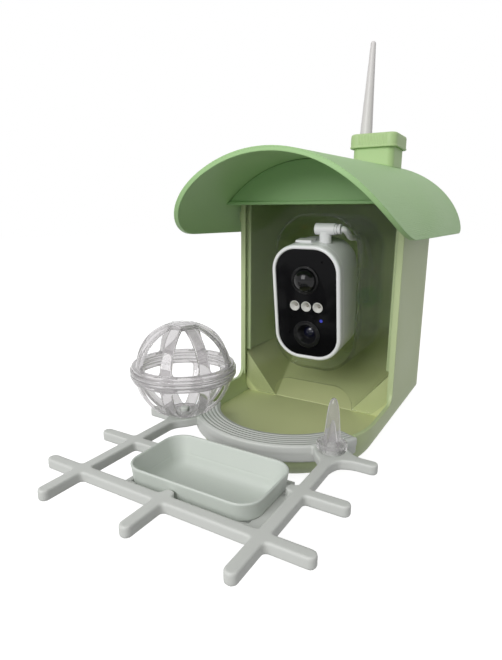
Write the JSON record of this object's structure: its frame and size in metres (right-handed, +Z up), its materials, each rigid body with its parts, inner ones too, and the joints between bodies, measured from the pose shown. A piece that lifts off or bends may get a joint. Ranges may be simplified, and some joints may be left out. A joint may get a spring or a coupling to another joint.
{
  "type": "bird feeder with camera",
  "caption": "Hopper bird feeder with an arched roof, round seed tray, ridged perch frame, dish, suet ball, spike, filler lid and a tilting camera behind a clear window.",
  "frame": {"origin": "on the base plane, under the middle of the window's front face", "axes": "+X right, +Y towards the back wall, +Z up"},
  "size_m": [0.1745, 0.3758, 0.3254],
  "materials": {
    "housing_green": "satin moulded plastic",
    "roof_green": "finely ribbed moulded plastic",
    "floor_green": "satin moulded plastic",
    "ring_green": "gloss",
    "clear_plastic": "clear",
    "pale_plastic": "satin moulded plastic",
    "white_plastic": "satin",
    "lead_white": "satin",
    "black_gloss": "gloss",
    "lamp_mirror": "polished",
    "lamp_yellow": "gloss",
    "lens_glass": "coated",
    "status_blue": "lit",
    "board_green": "coated",
    "cell_wrap": "wrapped",
    "seal_black": "matte",
    "steel": "bright",
    "brass": "bright"
  },
  "bodies": {
    "housing": {"housing_shell": "housing_green", "tray_pan": "floor_green", "hopper_floor": "floor_green", "base_cover": "housing_green", "base_screws": "steel", "base_insert": "brass", "front_window": "clear_plastic", "camera_tunnel": "clear_plastic", "roof_shell": "roof_green", "gable_board": "housing_green", "roof_catches": "housing_green", "filler_neck": "housing_green", "rear_pad": "housing_green", "rear_inserts": "brass", "back_ring": "ring_green", "aerial_jack": "brass", "jack_nut": "brass", "tilt_bracket": "white_plastic", "tilt_screw": "steel", "camera_lead": "lead_white"},
    "lid": {"filler_lid": "housing_green", "lid_seal": "seal_black"},
    "swivel": {"aerial_swivel": "white_plastic"},
    "aerial": {"aerial_rod": "white_plastic"},
    "camera": {"cam_bezel": "white_plastic", "cam_shell": "white_plastic", "cam_face": "black_gloss", "motion_dome": "black_gloss", "lamp_cups": "lamp_mirror", "lamp_emitters": "lamp_yellow", "lens_ring": "black_gloss", "lens_glass": "lens_glass", "status_light": "status_blue", "cam_board": "board_green", "battery_cells": "cell_wrap", "elbow_plug": "white_plastic"},
    "flap": {"port_flap": "white_plastic"},
    "perch": {"perch_frame": "pale_plastic"},
    "dish": {"dish": "pale_plastic"},
    "spike": {"spike": "clear_plastic", "spike_cup": "clear_plastic"},
    "ball_base": {"ball_lower": "clear_plastic"},
    "ball_top": {"ball_upper": "clear_plastic"}
  },
  "joints": [
    {"name": "lid_lift", "type": "slide", "parent": "housing", "child": "lid", "axis": [0, 0, 1], "range_m": [0, 0.03]},
    {"name": "aerial_turn", "type": "hinge", "parent": "housing", "child": "swivel", "pos_m": [-0.0215, 0.1509, 0.11], "axis": [0, 1, 0], "range_deg": [-90, 90]},
    {"name": "aerial_tip", "type": "hinge", "parent": "swivel", "child": "aerial", "pos_m": [-0.0215, 0.1599, 0.11], "axis": [-0.9996, 0, 0.0279], "range_deg": [0, 90]},
    {"name": "camera_tilt", "type": "hinge", "parent": "housing", "child": "camera", "pos_m": [0, 0.03444, 0.10524], "axis": [1, 0, 0], "range_deg": [-3, 6], "deforming": ["camera_lead"]},
    {"name": "flap_hinge", "type": "hinge", "parent": "camera", "child": "flap", "pos_m": [0, -0.0039, 0.14531], "axis": [-1, 0, 0], "range_deg": [0, 90]},
    {"name": "perch_lift", "type": "slide", "parent": "housing", "child": "perch", "axis": [0, 0, 1], "range_m": [0, 0.025]},
    {"name": "dish_lift", "type": "slide", "parent": "perch", "child": "dish", "axis": [0, 0, 1], "range_m": [0, 0.03]},
    {"name": "spike_lift", "type": "slide", "parent": "perch", "child": "spike", "axis": [0, 0, 1], "range_m": [0, 0.02]},
    {"name": "ball_lift", "type": "slide", "parent": "perch", "child": "ball_base", "axis": [0, 0, 1], "range_m": [0, 0.012]},
    {"name": "ball_twist", "type": "hinge", "parent": "ball_base", "child": "ball_top", "pos_m": [-0.054, -0.094, 0.0603], "axis": [0, 0, 1], "range_deg": [0, 30]}
  ]
}
